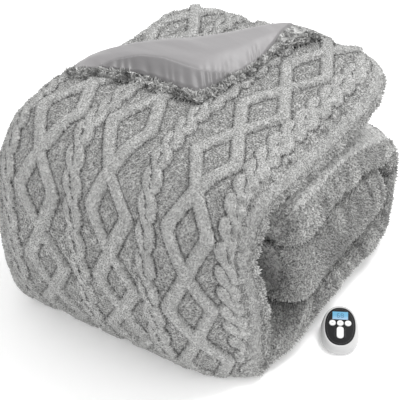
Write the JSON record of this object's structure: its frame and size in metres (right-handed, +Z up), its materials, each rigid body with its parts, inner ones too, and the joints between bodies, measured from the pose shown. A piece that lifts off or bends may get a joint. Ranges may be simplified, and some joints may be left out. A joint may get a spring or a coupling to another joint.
{
  "type": "folded electric heated blanket with controller",
  "caption": "Thick carved-plush heated blanket, folded in a stack with one top corner turned back to its smooth backing, beside a small oval hand controller with a display and keys.",
  "frame": {"origin": "a point on the flat underside of the bundle, 13 mm behind the middle of the object's box", "axes": "+Z up; +X along the folds, from the closed side to the open side where the controller stands; +Y from the round front bend to the back"},
  "size_m": [0.6938, 0.7327, 0.4339],
  "materials": {
    "plush": "grey carved plush",
    "backing": "smooth grey woven cloth",
    "shell": "satin white",
    "face": "gloss black",
    "display": "light blue window",
    "keys": "satin white"
  },
  "bodies": {
    "blanket": {"blanket_plush": "plush", "backing_cloth": "backing", "controller_housing": "shell", "controller_face": "face", "controller_display": "display"},
    "key_left": {"key_left": "keys"},
    "key_middle": {"key_middle": "keys"},
    "key_right": {"key_right": "keys"},
    "key_level": {"key_level": "keys"}
  },
  "joints": [
    {"name": "left_press", "type": "slide", "parent": "blanket", "child": "key_left", "axis": [-0.1173, 0.2116, -0.9703], "range_m": [0, 0.001], "stiffness_N_per_m": 400},
    {"name": "middle_press", "type": "slide", "parent": "blanket", "child": "key_middle", "axis": [-0.1173, 0.2116, -0.9703], "range_m": [0, 0.001], "stiffness_N_per_m": 400},
    {"name": "right_press", "type": "slide", "parent": "blanket", "child": "key_right", "axis": [-0.1173, 0.2116, -0.9703], "range_m": [0, 0.001], "stiffness_N_per_m": 400},
    {"name": "level_rock", "type": "hinge", "parent": "blanket", "child": "key_level", "pos_m": [0.31106, -0.08384, 0.0236], "axis": [0.8746, 0.4848, 0], "range_deg": [-3, 3], "stiffness_Nm_per_rad": 0.02}
  ]
}
